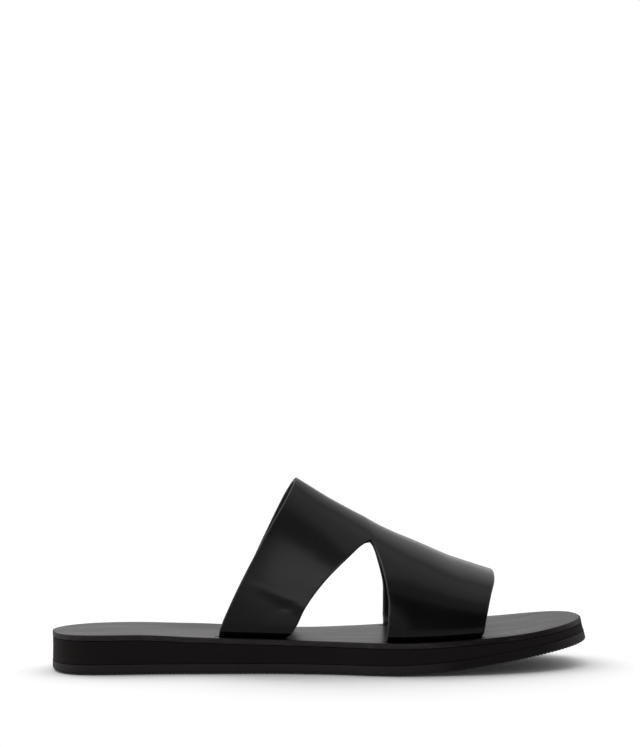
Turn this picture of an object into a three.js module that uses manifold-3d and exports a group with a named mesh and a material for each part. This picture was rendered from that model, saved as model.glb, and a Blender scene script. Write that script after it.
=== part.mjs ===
// A slide sandal for a right foot. One piece of leather, cut out on each side, arches over the foot
// on four legs. Each leg passes down a slot in the leather footbed and turns in under it, into a recess
// of the midsole. Below the midsole is a rubber outsole with a rounded edge. Units are millimetres.
// Flat frame: x runs from the heel's back to the toe, y towards the inner side of the foot, and h up
// from the tread.
// Everything is laid out flat and then bent with the forepart of the sole, which lifts towards the toe.
import * as THREE from "three";
import Module from "manifold-3d";

const wasm = await Module();
wasm.setup();

// Overall sizes
const LENGTH = 288.5;
const HEEL_BREADTH = 65;
const WAIST_BREADTH = 64;
const BALL_BREADTH = 103;
const HEEL_CENTRE = 36;

// The forepart bends up on one arc and runs on straight to the toe
const BEND_START = 0.58;
const BEND_LENGTH = 55;
const TOE_ANGLE = THREE.MathUtils.degToRad(8.1);

// The layers of the sole
const FOOTBED_THICK = 2.8;
const MIDSOLE_HEEL = 12.0;
const MIDSOLE_BALL = 8.2;
const MIDSOLE_TOE = 3.9;
const OUTSOLE_THICK = 5.2;
const LAYER_GAP = 0.3;
const ARCH_LIFT = 1.0;
const ARCH_ONSET = 0.6;
const OUTSOLE_ROUND = 2.0;
const MIDSOLE_WAISTING = 0.2;
const TOE_DRAFT = 0.12;
const TOE_DRAFT_POWER = 12;

// The upper
const UPPER_THICK = 2.2;
const UPPER_SKEW = THREE.MathUtils.degToRad(6.5);
const INSTEP_HEIGHT = 102;
const VAMP_HEIGHT = 44;
const NOTCH_TOP = 0.677;
const NOTCH_ALONG = 0.5888;
const RIDGE_OFFSET = 3;
const SHOULDER = 0.2;
const SLOT_INSET = 8;
const SLOT_CLEARANCE = 0.3;
const SLOT_OVERRUN = 2.0;
const TAB_LENGTH = 11;
const TAB_SINK = 0.4;
const TAB_BEND = 2.4;
const BULGE = 7;
const BULGE_HEIGHT = 6;
const BULGE_TURN = 0.35;
const SLOT_REACH = 0.2;

// How finely the surfaces are divided
const STATIONS = 44;
const ACROSS = 4;
const ROUND_STEPS = 3;
const BEND_STEPS = 3;
const SPREAD_STEPS = 5;
const LEG_STEPS = 7;
const CROWN_STEPS = 7;
const REAR_COLUMNS = 7;
const FRONT_COLUMNS = 8;

// The outline's half-breadths, as shares of the named breadth, at shares of the length
const OUTER_SIDE = [
  { at: 0.11, breadth: HEEL_BREADTH, share: 0.491 },
  { at: 0.2, breadth: HEEL_BREADTH, share: 0.492 },
  { at: 0.3, breadth: WAIST_BREADTH, share: 0.534 },
  { at: 0.4, breadth: WAIST_BREADTH, share: 0.58 },
  { at: 0.5, breadth: BALL_BREADTH, share: 0.425 },
  { at: 0.58, breadth: BALL_BREADTH, share: 0.506 },
  { at: 0.65, breadth: BALL_BREADTH, share: 0.539 },
];
const INNER_SIDE = [
  { at: 0.12, breadth: HEEL_BREADTH, share: 0.509 },
  { at: 0.2, breadth: HEEL_BREADTH, share: 0.488 },
  { at: 0.3, breadth: WAIST_BREADTH, share: 0.464 },
  { at: 0.4, breadth: WAIST_BREADTH, share: 0.421 },
  { at: 0.48, breadth: WAIST_BREADTH, share: 0.432 },
  { at: 0.56, breadth: BALL_BREADTH, share: 0.327 },
  { at: 0.64, breadth: BALL_BREADTH, share: 0.403 },
  { at: 0.72, breadth: BALL_BREADTH, share: 0.464 },
];

// The round ends of the outline: how far each reaches along the sole, and how square its corner is
const ENDS = {
  outer: { heelReach: 0.099, heelPower: 2.8, toeReach: 0.334, toePower: 2.26 },
  inner: { heelReach: 0.123, heelPower: 1.9, toeReach: 0.267, toePower: 2.57 },
};

// Midsole thickness at shares of the length: heel, taper through the waist, ball, taper to the toe
const MIDSOLE = [
  { at: 0.14, thick: MIDSOLE_HEEL },
  { at: 0.25, thick: MIDSOLE_HEEL * 0.885 },
  { at: 0.35, thick: MIDSOLE_HEEL * 0.797 },
  { at: 0.5, thick: MIDSOLE_BALL * 1.046 },
  { at: 0.62, thick: MIDSOLE_BALL },
  { at: 0.74, thick: MIDSOLE_BALL * 0.81 },
  { at: 0.87, thick: MIDSOLE_TOE * 1.056 },
  { at: 1.0, thick: MIDSOLE_TOE },
];

// Where the inner side of the midsole is raised under the arch of the foot
const ARCH = [
  { at: 0.12, lift: 0 },
  { at: 0.3, lift: ARCH_LIFT },
  { at: 0.5, lift: 0 },
];

// Height of the upper's ridge: along is a share of the length, up a share of the way from the vamp's
// height to the instep's
const RIDGE = [
  { along: 0.2, up: 1.9 },
  { along: 0.3, up: 1.53 },
  { along: 0.4, up: 1.145 },
  { along: 0.458, up: 0.965 },
  { along: 0.518, up: 0.781 },
  { along: 0.6, up: 0.568 },
  { along: 0.703, up: 0.345 },
  { along: 0.796, up: 0.11 },
  { along: 0.86, up: -0.045 },
  { along: 0.92, up: -0.17 },
];

// The upper's edges as seen from the side: up is a share of the instep height, along a share of the length
const REAR_EDGE = [
  { up: 0.05, along: 0.302, trail: 0.005 },
  { up: 0.18, along: 0.3103, trail: 0.005 },
  { up: 0.27, along: 0.32, trail: 0.005 },
  { up: 0.5, along: 0.3575, trail: 0.003 },
  { up: 0.73, along: 0.401, trail: -0.002 },
  { up: 0.96, along: 0.449, trail: -0.01 },
  { up: 1.1, along: 0.479, trail: -0.01 },
];
const FRONT_EDGE = [
  { up: 0.05, along: 0.785 },
  { up: 0.183, along: 0.8031 },
  { up: 0.263, along: 0.813 },
  { up: 0.343, along: 0.8256 },
  { up: 0.41, along: 0.8395 },
  { up: 0.5, along: 0.857 },
];
const NOTCH_REAR_EDGE = [
  { up: 0.05, along: 0.4 },
  { up: 0.18, along: 0.433 },
  { up: 0.227, along: 0.4498 },
  { up: 0.345, along: 0.4707 },
  { up: 0.489, along: 0.5088 },
  { up: 0.636, along: 0.5617 },
  { up: 0.67, along: 0.5785 },
  { up: NOTCH_TOP, along: NOTCH_ALONG },
];
const NOTCH_FRONT_EDGE = [
  { up: 0.05, along: 0.612, trail: 0.003 },
  { up: 0.16, along: 0.6167, trail: 0.003 },
  { up: 0.312, along: 0.6205, trail: 0.003 },
  { up: 0.401, along: 0.6206, trail: 0.003 },
  { up: 0.548, along: 0.61 },
  { up: 0.648, along: 0.595 },
  { up: NOTCH_TOP, along: NOTCH_ALONG },
];

// Smooth value of a table's column: cubic pieces with slopes from the neighbouring rows, level past
// both ends
function smoothed(rows, key, at, column) {
  const xs = rows.map((row) => row[key]);
  const ys = rows.map((row) => column(row));
  const last = rows.length - 1;
  if (at <= xs[0]) return ys[0];
  if (at >= xs[last]) return ys[last];
  const k = xs.findIndex((x) => at < x) - 1;
  const slope = (i) =>
    i === 0 || i === last ? 0 : (ys[i + 1] - ys[i - 1]) / (xs[i + 1] - xs[i - 1]);
  const width = xs[k + 1] - xs[k];
  const t = (at - xs[k]) / width;
  const from = ys[k] * (1 + 2 * t) + slope(k) * width * t;
  const to = ys[k + 1] * (3 - 2 * t) - slope(k + 1) * width * (1 - t);
  return from * (1 - t) ** 2 + to * t ** 2;
}

// Places of the bend, and the length of the sole when laid flat
const BEND_FROM = BEND_START * LENGTH;
const BEND_RADIUS = BEND_LENGTH / TOE_ANGLE;
const BEND_REACH = (BEND_RADIUS - OUTSOLE_ROUND) * Math.sin(TOE_ANGLE);
const RAMP = (LENGTH - BEND_FROM - BEND_REACH) / Math.cos(TOE_ANGLE);
const FLAT_LENGTH = BEND_FROM + BEND_LENGTH + RAMP;

function bent({ x, y, h }) {
  const angle = THREE.MathUtils.clamp((x - BEND_FROM) / BEND_RADIUS, 0, TOE_ANGLE);
  const ramp = Math.max(0, x - BEND_FROM - BEND_LENGTH);
  const radius = BEND_RADIUS - h;
  return new THREE.Vector3(
    Math.min(x, BEND_FROM) + radius * Math.sin(angle) + ramp * Math.cos(angle),
    y,
    BEND_RADIUS - radius * Math.cos(angle) + ramp * Math.sin(angle),
  );
}

// Half-breadth of the sole on one side at a share of its flat length
function halfBreadth(side, share) {
  const { heelReach, heelPower, toeReach, toePower } = ENDS[side];
  const table = side === "outer" ? OUTER_SIDE : INNER_SIDE;
  const full = smoothed(table, "at", share, (row) => row.breadth * row.share);
  const heel = Math.min(1, Math.max(0, 1 - share / heelReach));
  const toe = Math.min(1, Math.max(0, 1 - (1 - share) / toeReach));
  return full * (1 - heel ** heelPower) ** (1 / heelPower) * (1 - toe ** toePower) ** (1 / toePower);
}

// The outline as stations from heel to toe, each with its outer and inner point, moved in by an inset.
// Towards the toe the wall also leans back with its height.
function planStations(inset, height = 0) {
  const shares = Array.from({ length: STATIONS + 1 }, (_, i) => (1 - Math.cos((Math.PI * i) / STATIONS)) / 2);
  const point = (side, share) =>
    new THREE.Vector2(share * FLAT_LENGTH, halfBreadth(side, share) * (side === "outer" ? -1 : 1));
  const loop = [
    ...shares.map((share) => point("outer", share)),
    ...shares.slice(1, -1).reverse().map((share) => point("inner", share)),
  ];
  const moved = loop.map((at, i) => {
    const along = loop[(i + 1) % loop.length].clone().sub(loop.at(i - 1)).normalize();
    const rise = Math.max(0, height - OUTSOLE_ROUND);
    const lean = TOE_DRAFT * rise * (at.x / FLAT_LENGTH) ** TOE_DRAFT_POWER;
    return at.clone().add(new THREE.Vector2(-along.y, along.x).multiplyScalar(inset + lean));
  });
  return shares.map((_, i) => ({ outer: moved[i], inner: moved[(loop.length - i) % loop.length] }));
}

// Heights of the layers' faces above the tread, at a point of the flat frame
function midsoleThick(x, y) {
  const share = x / FLAT_LENGTH;
  const inward = Math.max(0, y) / (BALL_BREADTH / 2);
  const thick = smoothed(MIDSOLE, "at", share, (row) => row.thick);
  return thick + smoothed(ARCH, "at", share, (row) => row.lift) * Math.min(1, inward / ARCH_ONSET) ** 2;
}
const midsoleBottom = () => OUTSOLE_THICK + LAYER_GAP;
const midsoleTop = (x, y) => midsoleBottom() + midsoleThick(x, y);
const footbedBottom = (x, y) => midsoleTop(x, y) + LAYER_GAP;
const footbedTop = (x, y) => footbedBottom(x, y) + FOOTBED_THICK;

// A closed mesh from points of the flat frame, bent with the sole
function meshOf(points, faces) {
  const vertProperties = new Float32Array(points.flatMap((point) => bent(point).toArray()));
  return new wasm.Manifold(
    new wasm.Mesh({ numProp: 3, vertProperties, triVerts: new Uint32Array(faces.flat()) }),
  );
}

// A layer of the sole. Each ring of its wall has an inset from the outline and a height. Caps close
// both ends.
function layer(rings) {
  const points = [];
  const faces = [];
  const loops = rings.map(({ inset, height }) => {
    const stations = planStations(inset, height(FLAT_LENGTH, 0));
    const place = (p) => points.push({ x: p.x, y: p.y, h: height(p.x, p.y) }) - 1;
    const outer = stations.map(({ outer: p }) => place(p));
    const inner = stations.map(({ inner: p }, i) => (i === 0 || i === STATIONS ? outer[i] : place(p)));
    return { outer, inner, stations, height };
  });
  loops.slice(0, -1).forEach((low, k) => {
    const high = loops[k + 1];
    for (let i = 0; i < STATIONS; i++) {
      const quads = [
        [low.outer[i], low.outer[i + 1], high.outer[i + 1], high.outer[i]],
        [low.inner[i + 1], low.inner[i], high.inner[i], high.inner[i + 1]],
      ];
      quads.forEach(([a, b, c, d]) => faces.push([a, b, c], [a, c, d]));
    }
  });
  const cap = ({ outer, inner, stations, height }, upwards) => {
    const grid = stations.map(({ outer: from, inner: to }, i) =>
      Array.from({ length: ACROSS + 1 }, (_, j) => {
        if (j === 0) return outer[i];
        if (j === ACROSS || outer[i] === inner[i]) return inner[i];
        const at = from.clone().lerp(to, j / ACROSS);
        return points.push({ x: at.x, y: at.y, h: height(at.x, at.y) }) - 1;
      }),
    );
    for (let i = 0; i < STATIONS; i++) {
      for (let j = 0; j < ACROSS; j++) {
        const quad = [grid[i][j], grid[i + 1][j], grid[i + 1][j + 1], grid[i][j + 1]];
        for (const [a, b, c] of [[quad[0], quad[1], quad[2]], [quad[0], quad[2], quad[3]]]) {
          if (a !== b && b !== c && c !== a) faces.push(upwards ? [a, b, c] : [a, c, b]);
        }
      }
    }
  };
  cap(loops[0], false);
  cap(loops.at(-1), true);
  return meshOf(points, faces);
}

function outsole() {
  const round = Array.from({ length: ROUND_STEPS + 1 }, (_, i) => {
    const angle = (Math.PI / 2) * (i / ROUND_STEPS);
    const height = OUTSOLE_ROUND * (1 - Math.cos(angle));
    return { inset: OUTSOLE_ROUND * (1 - Math.sin(angle)), height: () => height };
  });
  return layer([...round, { inset: 0, height: () => OUTSOLE_THICK }]);
}

function midsole() {
  const middle = (x, y) => (midsoleBottom() + midsoleTop(x, y)) / 2;
  return layer([
    { inset: MIDSOLE_WAISTING / 2, height: midsoleBottom },
    { inset: MIDSOLE_WAISTING, height: middle },
    { inset: MIDSOLE_WAISTING / 2, height: midsoleTop },
  ]);
}

function footbed() {
  return layer([
    { inset: 0, height: footbedBottom },
    { inset: 0, height: footbedTop },
  ]);
}

// The upper has its own frame, turned about the middle of the heel so that its inner side sits
// further forward
const TURN = new THREE.Vector2(HEEL_CENTRE, 0);
const toSole = (x, y) => new THREE.Vector2(x, y).rotateAround(TURN, -UPPER_SKEW);
const EDGE_PASSES = 5;

// The slot's centre line on one side, in the upper's frame: the edge is found there by closing in on it
function slotLine(side, x) {
  const out = side === "outer" ? -1 : 1;
  let edge = 0;
  for (let pass = 0; pass < EDGE_PASSES; pass++) {
    const at = toSole(x, edge);
    edge += out * halfBreadth(side, at.x / FLAT_LENGTH) - at.y;
  }
  return edge - out * SLOT_INSET;
}

const ridgeHeight = (x) =>
  VAMP_HEIGHT + (INSTEP_HEIGHT - VAMP_HEIGHT) * smoothed(RIDGE, "along", x / LENGTH, (row) => row.up);
const ridgeLine = (x) => (slotLine("outer", x) + slotLine("inner", x)) / 2 + RIDGE_OFFSET;

// Height and distance across of the upper's middle surface. A row names a stretch of the leg and a
// share along it.
function sectionPoint(side, x, { stretch, share }) {
  const out = side === "outer" ? -1 : 1;
  const slot = slotLine(side, x);
  const angle = (Math.PI / 2) * share;
  const underneath = (y) => {
    const at = toSole(x, y);
    return footbedBottom(at.x, at.y) - TAB_SINK - UPPER_THICK / 2;
  };
  if (stretch === "tab") {
    const y = slot - out * (TAB_BEND + TAB_LENGTH * (1 - share));
    return { y, h: underneath(y) };
  }
  if (stretch === "bend") {
    const y = slot - out * TAB_BEND * (1 - Math.sin(angle));
    return { y, h: underneath(y) + TAB_BEND * (1 - Math.cos(angle)) };
  }
  const foot = toSole(x, slot);
  const top = footbedTop(foot.x, foot.y);
  if (stretch === "spread") {
    const curve = new THREE.CubicBezierCurve(
      new THREE.Vector2(0, 0),
      new THREE.Vector2(0, BULGE_HEIGHT * BULGE_TURN),
      new THREE.Vector2(BULGE, BULGE_HEIGHT * BULGE_TURN),
      new THREE.Vector2(BULGE, BULGE_HEIGHT),
    ).getPoint(share);
    return { y: slot + out * curve.x, h: top + curve.y };
  }
  const ridge = ridgeLine(x);
  const reach = slot + out * BULGE - ridge;
  const rise = ridgeHeight(x) - UPPER_THICK / 2 - top - BULGE_HEIGHT;
  const shoulder = 1 + SHOULDER * Math.sin(angle) ** 2;
  return { y: ridge + reach * Math.cos(angle) * shoulder, h: top + BULGE_HEIGHT + rise * Math.sin(angle) };
}

// Closes in on the place between two ends where a test stops holding
const HALVINGS = 40;
function halved(low, high, holds) {
  let [from, to] = [low, high];
  for (let i = 0; i < HALVINGS; i++) {
    const middle = (from + to) / 2;
    if (holds(middle)) from = middle;
    else to = middle;
  }
  return (from + to) / 2;
}

// Place along the upper where an edge, drawn as seen from the outer side, meets a row of the surface.
// A mark's trail is how much further along the edge lies on the inner side.
const EDGE_MARGIN = 0.1;
function alongAt(edge, side, row) {
  const gap = (x) => {
    const { y, h } = sectionPoint(side, x, row);
    const across = (y - slotLine("outer", x)) / (slotLine("inner", x) - slotLine("outer", x));
    const place = smoothed(edge, "up", h / INSTEP_HEIGHT, ({ along, trail = 0 }) => along + trail * across);
    return x - LENGTH * place;
  };
  const from = LENGTH * (edge[0].along - EDGE_MARGIN);
  const to = LENGTH * (edge.at(-1).along + EDGE_MARGIN);
  return halved(from, to, (x) => gap(x) < 0);
}

const NOTCH_POINT = LENGTH * NOTCH_ALONG;

// Share of the arch at which a side's cut-out ends
function notchShare(side) {
  const below = (share) =>
    sectionPoint(side, NOTCH_POINT, { stretch: "arch", share }).h < NOTCH_TOP * INSTEP_HEIGHT;
  return halved(0, 1, below);
}

const steps = (count, from, to) => Array.from({ length: count }, (_, i) => from + ((to - from) * i) / count);

// The rows of one side, from the end of its tabs up to the ridge
function sideRows(side) {
  const notch = notchShare(side);
  const row = (stretch, legs) => (share) => ({ side, stretch, share, legs });
  return [
    row("tab", true)(0),
    ...steps(BEND_STEPS, 0, 1).map(row("bend", true)),
    row("bend", true)(1),
    ...steps(SPREAD_STEPS, 0, 1).map(row("spread", true)),
    ...steps(LEG_STEPS, 0, 1).map((share) => row("arch", true)(notch * (1 - (1 - share) ** 2))),
    ...steps(CROWN_STEPS, notch, 1).map(row("arch", false)),
  ];
}

// A sheet is a list of points in the flat frame and a list of four-sided faces that look outwards
function sheetPoint(side, x, row) {
  const { y, h } = sectionPoint(side, x, row);
  const at = toSole(x, y);
  return { x: at.x, y: at.y, h };
}

function upperSheet() {
  const inner = sideRows("inner").reverse();
  const ridge = { side: "inner", stretch: "arch", share: 1, legs: false };
  const rows = [...sideRows("outer"), ridge, ...inner];
  const points = [];
  const place = (row, from, to, share) =>
    points.push(sheetPoint(row.side, from + (to - from) * share, row)) - 1;
  const grids = rows.map((row) => {
    const rear = alongAt(REAR_EDGE, row.side, row);
    const front = alongAt(FRONT_EDGE, row.side, row);
    const rearStop = row.legs ? alongAt(NOTCH_REAR_EDGE, row.side, row) : NOTCH_POINT;
    const frontStart = row.legs ? alongAt(NOTCH_FRONT_EDGE, row.side, row) : NOTCH_POINT;
    const back = [...steps(REAR_COLUMNS, 0, 1), 1].map((share) => place(row, rear, rearStop, share));
    const fore = [...steps(FRONT_COLUMNS, 0, 1), 1].map((share) =>
      share === 0 && !row.legs ? back.at(-1) : place(row, frontStart, front, share),
    );
    return { back, fore };
  });
  const faces = [];
  grids.slice(0, -1).forEach((grid, k) => {
    for (const block of ["back", "fore"]) {
      const [low, high] = [grid[block], grids[k + 1][block]];
      low.slice(0, -1).forEach((_, i) => faces.push([low[i], low[i + 1], high[i + 1], high[i]]));
    }
  });
  return { points, faces };
}

// Turns a sheet into a wall of a thickness, half on each side, closed all round its edge
function wall({ points, faces }, thick) {
  const flat = points.map(({ x, y, h }) => new THREE.Vector3(x, y, h));
  const normals = flat.map(() => new THREE.Vector3());
  const edges = new Map();
  for (const face of faces) {
    const across = flat[face[2]].clone().sub(flat[face[0]]);
    const normal = across.cross(flat[face[3]].clone().sub(flat[face[1]]));
    face.forEach((corner, i) => {
      normals[corner].add(normal);
      edges.set(`${corner},${face[(i + 1) % 4]}`, [corner, face[(i + 1) % 4]]);
    });
  }
  const count = flat.length;
  const solid = [1, -1].flatMap((way) =>
    flat.map((at, i) => {
      const moved = at.clone().addScaledVector(normals[i].clone().normalize(), (way * thick) / 2);
      return { x: moved.x, y: moved.y, h: moved.z };
    }),
  );
  const triangles = faces.flatMap(([a, b, c, d]) => [
    [a, b, c],
    [a, c, d],
    [c + count, b + count, a + count],
    [d + count, c + count, a + count],
  ]);
  for (const [a, b] of edges.values()) {
    if (!edges.has(`${b},${a}`)) triangles.push([b, a, a + count], [b, a + count, b + count]);
  }
  return meshOf(solid, triangles);
}

// What one leg's slot and recess take away: the leg's foot, grown by its clearance all round
function slotCutter(side, startEdge, endEdge, count) {
  const tabShare = -SLOT_CLEARANCE / TAB_LENGTH;
  const rows = [
    { stretch: "tab", share: tabShare },
    ...steps(BEND_STEPS, 0, 1).map((share) => ({ stretch: "bend", share })),
    { stretch: "bend", share: 1 },
    { stretch: "spread", share: 0 },
    { stretch: "spread", share: SLOT_REACH },
  ];
  const footing = { stretch: "spread", share: 0 };
  const start = alongAt(startEdge, side, footing) - SLOT_OVERRUN;
  const end = alongAt(endEdge, side, footing) + SLOT_OVERRUN;
  const columns = [...steps(count, 0, 1), 1];
  const points = rows.flatMap((row) =>
    columns.map((share) => sheetPoint(side, start + (end - start) * share, row)),
  );
  const faces = rows.slice(1).flatMap((_, k) =>
    columns.slice(1).map((_, i) => {
      const corner = k * columns.length + i;
      const quad = [corner, corner + 1, corner + 1 + columns.length, corner + columns.length];
      return side === "outer" ? quad : quad.reverse();
    }),
  );
  return wall({ points, faces }, UPPER_THICK + 2 * SLOT_CLEARANCE);
}

const cutters = ["outer", "inner"].flatMap((side) => [
  slotCutter(side, REAR_EDGE, NOTCH_REAR_EDGE, REAR_COLUMNS),
  slotCutter(side, NOTCH_FRONT_EDGE, FRONT_EDGE, FRONT_COLUMNS),
]);
const withSlots = (solid) => cutters.reduce((left, cutter) => left.subtract(cutter), solid);

// A named mesh from a solid, in its colour
function piece(name, solid, color, roughness) {
  const { vertProperties, triVerts } = solid.getMesh();
  const geometry = new THREE.BufferGeometry();
  geometry.setAttribute("position", new THREE.BufferAttribute(vertProperties, 3));
  geometry.setIndex(new THREE.BufferAttribute(triVerts, 1));
  geometry.computeVertexNormals();
  const mesh = new THREE.Mesh(geometry, new THREE.MeshStandardMaterial({ color, roughness, metalness: 0 }));
  mesh.name = name;
  return mesh;
}

const sandal = new THREE.Group();
sandal.add(
  piece("outsole", outsole(), 0x1d1c1c, 0.8),
  piece("midsole", withSlots(midsole()), 0x141313, 0.9),
  piece("footbed", withSlots(footbed()), 0x2a2725, 0.55),
  piece("upper", wall(upperSheet(), UPPER_THICK), 0x131313, 0.35),
);

// The finished part stands on its tread with its origin below the middle of its box
const breadthMiddle =
  (halfBreadth("inner", INNER_SIDE.at(-1).at) - halfBreadth("outer", OUTER_SIDE.at(-1).at)) / 2;
sandal.position.set(-LENGTH / 2, -breadthMiddle, 0);

export default sandal;
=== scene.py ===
"""A slide sandal for a right foot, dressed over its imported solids.

Sizes are in millimetres, as a last maker writes them, and turn into metres when a mesh is made. The flat
frame has x from the heel's back to the toe, y towards the inner side of the foot, and h up from the tread.
"""

import logging
import math
from dataclasses import dataclass, field
from enum import Enum
from typing import Callable, Optional, Sequence, Union

import bpy
import numpy as np
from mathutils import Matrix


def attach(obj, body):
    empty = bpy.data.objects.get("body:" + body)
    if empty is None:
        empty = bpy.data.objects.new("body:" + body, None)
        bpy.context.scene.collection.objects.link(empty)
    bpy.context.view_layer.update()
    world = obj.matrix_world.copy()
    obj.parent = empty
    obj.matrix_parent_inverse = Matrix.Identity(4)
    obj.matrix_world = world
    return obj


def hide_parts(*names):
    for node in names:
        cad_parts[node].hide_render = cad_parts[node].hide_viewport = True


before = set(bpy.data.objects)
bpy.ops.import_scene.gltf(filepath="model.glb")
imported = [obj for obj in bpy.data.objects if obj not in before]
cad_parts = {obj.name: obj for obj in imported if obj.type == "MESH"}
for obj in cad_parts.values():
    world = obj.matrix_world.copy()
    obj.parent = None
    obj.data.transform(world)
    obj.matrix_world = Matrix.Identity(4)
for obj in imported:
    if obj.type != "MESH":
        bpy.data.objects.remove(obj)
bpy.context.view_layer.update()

LOG = logging.getLogger("sandal")
MM = 0.001
Array = np.ndarray
Height = Callable[[Array, Array], Array]
Inset = Callable[[Array], Array]
Colour = tuple[float, float, float, float]


# The shape of the sole


class Side(Enum):
    """The two sides of the shoe. The value is the way out from the middle along y."""

    OUTER = -1
    INNER = 1


class Stretch(Enum):
    """The stretches of a strap, from the end of its tab up to the ridge."""

    TAB = "tab"
    BEND = "bend"
    SPREAD = "spread"
    ARCH = "arch"


@dataclass(frozen=True)
class Mark:
    """A row of a table: the value at a place, and how much further along it is on the inner side."""

    at: float
    value: float
    trail: float = 0.0


@dataclass(frozen=True)
class RoundEnds:
    """How far the outline's round ends reach along the sole, and how square their corners are."""

    heel_reach: float
    heel_power: float
    toe_reach: float
    toe_power: float


def smoothed(marks: Sequence[Mark], at: Array, trail: bool = False) -> Array:
    """Smooth value of a table: cubic pieces, level past both ends.

    Args:
        marks: The table's rows, in order of their places.
        at: The places to read.
        trail: Reads the trails and not the values.

    Returns:
        The value at each place.
    """
    xs = np.array([mark.at for mark in marks])
    ys = np.array([mark.trail if trail else mark.value for mark in marks])
    slopes = np.zeros(len(ys))
    slopes[1:-1] = (ys[2:] - ys[:-2]) / (xs[2:] - xs[:-2])
    x = np.clip(at, xs[0], xs[-1])
    k = np.clip(np.searchsorted(xs, x, side="right") - 1, 0, len(xs) - 2)
    width = xs[k + 1] - xs[k]
    t = (x - xs[k]) / width
    low = ys[k] * (1 + 2 * t) + slopes[k] * width * t
    high = ys[k + 1] * (3 - 2 * t) - slopes[k + 1] * width * (1 - t)
    return low * (1 - t) ** 2 + high * t**2


@dataclass(frozen=True)
class Last:
    """The plan of the sole, its bend at the forepart, and the heights of its layers."""

    length: float = 288.5
    heel_breadth: float = 65.0
    waist_breadth: float = 64.0
    ball_breadth: float = 103.0
    heel_centre: float = 36.0
    bend_start: float = 0.58
    bend_length: float = 55.0
    toe_angle: float = math.radians(8.1)
    footbed_thick: float = 2.8
    midsole_heel: float = 12.0
    midsole_ball: float = 8.2
    midsole_toe: float = 3.9
    outsole_thick: float = 5.2
    outsole_round: float = 2.0
    layer_gap: float = 0.3
    arch_lift: float = 1.0
    arch_onset: float = 0.6
    toe_draft: float = 0.12
    toe_draft_power: float = 12.0
    outer_ends: RoundEnds = RoundEnds(0.099, 2.8, 0.334, 2.26)
    inner_ends: RoundEnds = RoundEnds(0.123, 1.9, 0.267, 2.57)

    @property
    def bend_from(self) -> float:
        """Where the bend starts along the sole."""
        return self.bend_start * self.length

    @property
    def bend_radius(self) -> float:
        """Radius of the bend at the tread."""
        return self.bend_length / self.toe_angle

    @property
    def flat_length(self) -> float:
        """Length of the sole when it is laid flat."""
        reach = (self.bend_radius - self.outsole_round) * math.sin(self.toe_angle)
        ramp = (self.length - self.bend_from - reach) / math.cos(self.toe_angle)
        return self.bend_from + self.bend_length + ramp

    def breadth_marks(self, side: Side) -> list[Mark]:
        """Half-breadths of one side at shares of the length."""
        heel, waist, ball = self.heel_breadth, self.waist_breadth, self.ball_breadth
        if side is Side.OUTER:
            return [
                Mark(0.11, heel * 0.491),
                Mark(0.2, heel * 0.492),
                Mark(0.3, waist * 0.534),
                Mark(0.4, waist * 0.58),
                Mark(0.5, ball * 0.425),
                Mark(0.58, ball * 0.506),
                Mark(0.65, ball * 0.539),
            ]
        return [
            Mark(0.12, heel * 0.509),
            Mark(0.2, heel * 0.488),
            Mark(0.3, waist * 0.464),
            Mark(0.4, waist * 0.421),
            Mark(0.48, waist * 0.432),
            Mark(0.56, ball * 0.327),
            Mark(0.64, ball * 0.403),
            Mark(0.72, ball * 0.464),
        ]

    def half_breadth(self, side: Side, share: Array) -> Array:
        """Half-breadth of one side.

        Args:
            side: The side of the shoe.
            share: Shares of the flat length.

        Returns:
            The distance from the middle line at each share.
        """
        ends = self.outer_ends if side is Side.OUTER else self.inner_ends
        heel = np.clip(1 - share / ends.heel_reach, 0, 1)
        toe = np.clip(1 - (1 - share) / ends.toe_reach, 0, 1)
        full = smoothed(self.breadth_marks(side), share)
        heel_end = (1 - heel**ends.heel_power) ** (1 / ends.heel_power)
        return full * heel_end * (1 - toe**ends.toe_power) ** (1 / ends.toe_power)

    def outline(self, count: int, inset: Inset, height: float) -> Array:
        """The outline as one loop: the outer side from heel to toe, then the inner side back.

        Args:
            count: How many steps each side has.
            inset: How far the loop is moved in, at places along.
            height: Height above the tread, with which the wall leans back at the toe.

        Returns:
            Points of the loop, two columns.
        """
        shares = (1 - np.cos(np.pi * np.arange(count + 1) / count)) / 2
        sides = {
            side: np.column_stack([shares * self.flat_length, side.value * self.half_breadth(side, shares)])
            for side in Side
        }
        loop = np.concatenate([sides[Side.OUTER], sides[Side.INNER][-2:0:-1]])
        along = np.roll(loop, -1, axis=0) - np.roll(loop, 1, axis=0)
        along /= np.linalg.norm(along, axis=1, keepdims=True)
        rise = max(0.0, height - self.outsole_round)
        lean = self.toe_draft * rise * (loop[:, 0] / self.flat_length) ** self.toe_draft_power
        inward = np.column_stack([-along[:, 1], along[:, 0]])
        return loop + inward * (inset(loop[:, 0]) + lean)[:, None]

    def midsole_bottom(self, x: Array, y: Array) -> Array:
        """Height of the midsole's underside."""
        return np.full(np.shape(x), self.outsole_thick + self.layer_gap)

    def midsole_top(self, x: Array, y: Array) -> Array:
        """Height of the midsole's upper face."""
        share = x / self.flat_length
        heel, ball, toe = self.midsole_heel, self.midsole_ball, self.midsole_toe
        thick = smoothed(
            [
                Mark(0.14, heel),
                Mark(0.25, heel * 0.885),
                Mark(0.35, heel * 0.797),
                Mark(0.5, ball * 1.046),
                Mark(0.62, ball),
                Mark(0.74, ball * 0.81),
                Mark(0.87, toe * 1.056),
                Mark(1.0, toe),
            ],
            share,
        )
        lift = smoothed([Mark(0.12, 0.0), Mark(0.3, self.arch_lift), Mark(0.5, 0.0)], share)
        inward = np.maximum(0, y) / (self.ball_breadth / 2)
        return self.midsole_bottom(x, y) + thick + lift * np.minimum(1, inward / self.arch_onset) ** 2

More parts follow.
